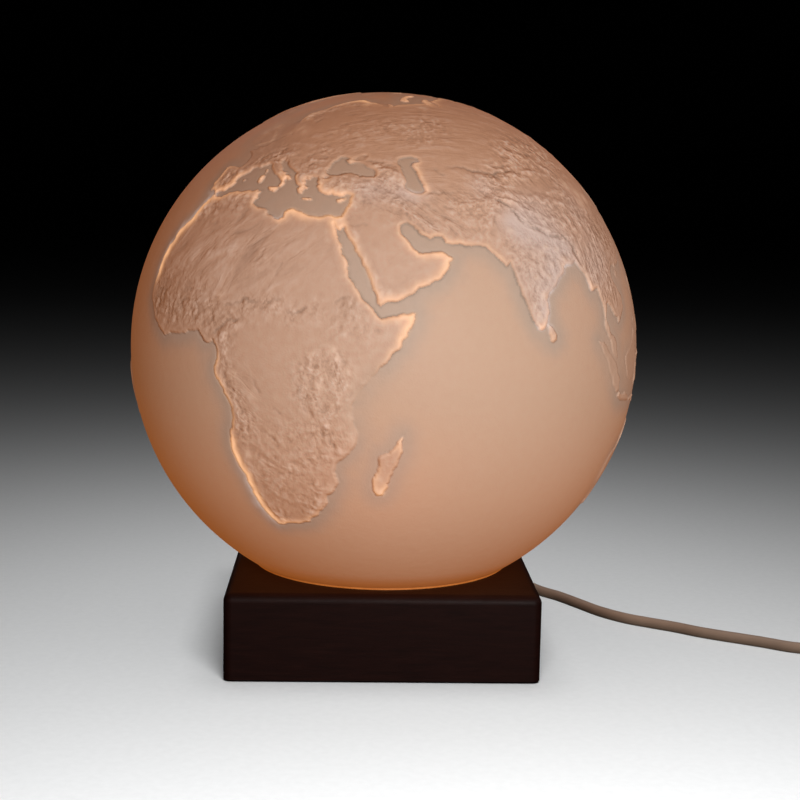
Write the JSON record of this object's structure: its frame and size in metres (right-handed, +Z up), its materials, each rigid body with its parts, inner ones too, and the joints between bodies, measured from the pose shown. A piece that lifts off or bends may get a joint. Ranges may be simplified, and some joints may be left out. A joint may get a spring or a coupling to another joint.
{
  "type": "globe table lamp",
  "caption": "Table lamp: a translucent globe with raised land relief, lit from inside, stands on a square dark wooden base; brown-grey mains cord with inline switch and flat plug.",
  "frame": {"origin": "on the table under the centre of the base", "axes": "+Z up, -Y towards the front of the lamp, the cord leaves the back (+Y) and runs to the right (+X)"},
  "size_m": [0.467, 0.253, 0.2418],
  "materials": {
    "wood": "dark brown stain, satin",
    "felt": "felt",
    "fibre": "matt fibre board",
    "steel": "zinc plated",
    "aluminium": "spun, satin",
    "brass": "plain",
    "cream_plastic": "satin moulded",
    "porcelain": "glazed white",
    "brown_wire": "insulation",
    "blue_wire": "insulation",
    "cord": "brown-grey satin sheath",
    "rubber": "matt",
    "black_plastic": "fine matt texture",
    "globe": "frosted translucent, lit warm from inside, land in raised relief",
    "seat": "translucent silicone",
    "bulb_glass": "opal",
    "clear_glass": "clear",
    "filament": "glowing"
  },
  "bodies": {
    "base": {"base_block": "wood", "base_pads": "felt", "bottom_cover": "fibre", "cover_screws": "steel", "gallery_plate": "aluminium", "gallery_screws": "steel", "threaded_tube": "brass", "tube_nut": "steel", "tube_washer": "steel", "holder_cap": "cream_plastic", "holder_shell": "cream_plastic", "holder_core": "porcelain", "holder_thread_sleeve": "brass", "holder_centre_contact": "brass", "holder_terminals": "brass", "holder_terminal_screws": "steel", "live_wire": "brown_wire", "neutral_wire": "blue_wire", "cord_inner": "cord", "cord_relief": "rubber", "cord_anchor": "black_plastic", "cord_saddle": "black_plastic", "anchor_screws": "steel", "cord_lead": "cord", "cord_tail": "cord", "cord_coil": "cord", "cord_end": "cord", "switch_base": "black_plastic", "switch_cover": "black_plastic", "switch_screws": "steel", "switch_contacts": "brass", "plug_body": "black_plastic", "plug_relief": "rubber", "plug_pins": "steel", "plug_sleeves": "black_plastic"},
    "seat": {"globe_seat": "seat"},
    "globe": {"globe_lower": "globe", "globe_upper": "globe"},
    "bulb": {"bulb_glass": "bulb_glass", "bulb_cap": "steel", "bulb_insulator": "porcelain", "bulb_tip": "aluminium", "bulb_stem": "clear_glass", "bulb_filament": "filament"},
    "rocker": {"switch_rocker": "black_plastic"}
  },
  "joints": [
    {"name": "globe_turn", "type": "hinge", "parent": "base", "child": "seat", "pos_m": [0, 0, 0.037], "axis": [0, 0, 1], "continuous": true},
    {"name": "globe_lift", "type": "slide", "parent": "seat", "child": "globe", "axis": [0, 0, 1], "range_m": [0, 0.125]},
    {"name": "bulb_unscrew", "type": "slide", "parent": "base", "child": "bulb", "axis": [0, 0, 1], "range_m": [0, 0.03]},
    {"name": "switch_tip", "type": "hinge", "parent": "base", "child": "rocker", "pos_m": [0.243, -0.028, 0.013], "axis": [0, 1, 0], "range_deg": [-16, 0]}
  ]
}
